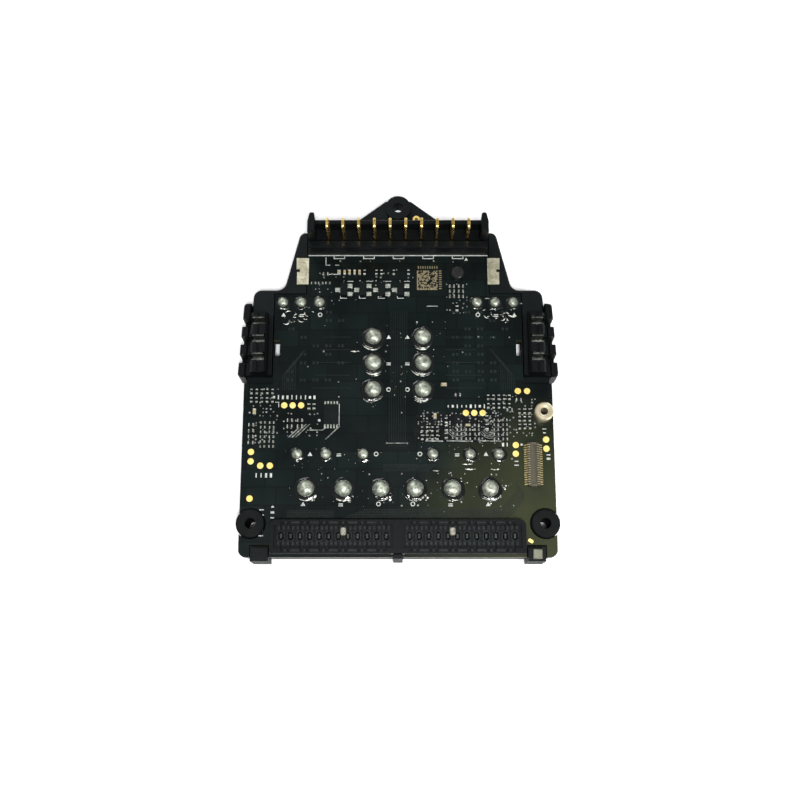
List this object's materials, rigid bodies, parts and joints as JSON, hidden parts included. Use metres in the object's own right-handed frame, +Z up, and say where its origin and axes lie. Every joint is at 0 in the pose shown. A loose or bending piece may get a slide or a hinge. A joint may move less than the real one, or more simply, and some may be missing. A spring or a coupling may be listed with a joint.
{
  "type": "flight controller board",
  "caption": "Stepped black circuit board on a moulded carrier, with an upright bladed battery connector, two side sockets, a long front socket and rows of soldered motor joints.",
  "frame": {"origin": "midway between the two front mounting holes, on the plane of the carrier's underside", "axes": "+X to the board's right, +Y to the rear where the battery plugs in, +Z up out of the board's component side"},
  "size_m": [0.0698, 0.0828, 0.0183],
  "materials": {
    "black_rubber": "matt black rubber",
    "capacitor_ceramic": "tan ceramic with tinned ends",
    "carrier_nylon": "fine-textured black glass-filled nylon",
    "chip_moulding": "black moulding compound",
    "connector_plastic": "smooth black moulded connector plastic",
    "crystal_can": "nickel-plated lid",
    "ferrite": "grey-black pressed ferrite",
    "gold_plating": "bright gold plating over copper alloy",
    "pale_gold_plating": "dull pale gold plating",
    "pale_nylon": "unfilled pale nylon",
    "resistor_ceramic": "dark glazed ceramic with tinned ends",
    "shunt_alloy": "bare resistance alloy",
    "solder": "wetted lead-free solder",
    "solder_mask_laminate": "semi-gloss black solder mask on glass-epoxy laminate",
    "tinned_bronze": "matt tin plating on bronze strip",
    "turned_brass": "turned brass, lightly tarnished"
  },
  "bodies": {
    "root": {"battery_connector_housing": "connector_plastic", "carrier_frame": "carrier_nylon", "chip_capacitors": "capacitor_ceramic", "chip_resistors": "resistor_ceramic", "circuit_board": "solder_mask_laminate", "clock_crystal": "crystal_can", "contact_blade_01": "gold_plating", "contact_blade_02": "gold_plating", "contact_blade_03": "gold_plating", "contact_blade_04": "gold_plating", "contact_blade_05": "gold_plating", "contact_blade_06": "gold_plating", "contact_blade_07": "gold_plating", "contact_blade_08": "gold_plating", "contact_blade_09": "gold_plating", "contact_blade_10": "gold_plating", "current_shunts": "shunt_alloy", "front_left_motor_joints": "solder", "front_left_motor_switches": "chip_moulding", "front_left_signal_joints": "solder", "front_right_motor_joints": "solder", "front_right_motor_switches": "chip_moulding", "front_right_signal_joints": "solder", "front_socket_housing": "connector_plastic", "inertial_sensor": "chip_moulding", "latch_tab": "pale_nylon", "left_bay_contacts": "tinned_bronze", "left_corner_grommet": "black_rubber", "left_ground_clip": "pale_gold_plating", "left_side_socket_contacts": "tinned_bronze", "left_side_socket_housing": "connector_plastic", "level_shifter_chip": "chip_moulding", "level_shifter_leads": "tinned_bronze", "lug_eyelet": "gold_plating", "main_processor": "chip_moulding", "mezzanine_contacts": "gold_plating", "mezzanine_housing": "connector_plastic", "motor_driver_chips": "chip_moulding", "polarising_keys": "pale_nylon", "pressure_sensor": "chip_moulding", "rear_left_motor_joints": "solder", "rear_left_motor_switches": "chip_moulding", "rear_left_signal_joints": "solder", "rear_right_motor_joints": "solder", "rear_right_motor_switches": "chip_moulding", "rear_right_signal_joints": "solder", "rear_transistor_legs": "tinned_bronze", "rear_transistors": "chip_moulding", "right_bay_contacts": "tinned_bronze", "right_corner_grommet": "black_rubber", "right_ground_clip": "pale_gold_plating", "right_side_socket_contacts": "tinned_bronze", "right_side_socket_housing": "connector_plastic", "supply_capacitors": "capacitor_ceramic", "supply_inductors": "ferrite", "test_pads": "gold_plating", "threaded_standoff": "turned_brass", "under_chip_capacitors": "capacitor_ceramic", "wound_choke": "ferrite"}
  },
  "joints": []
}
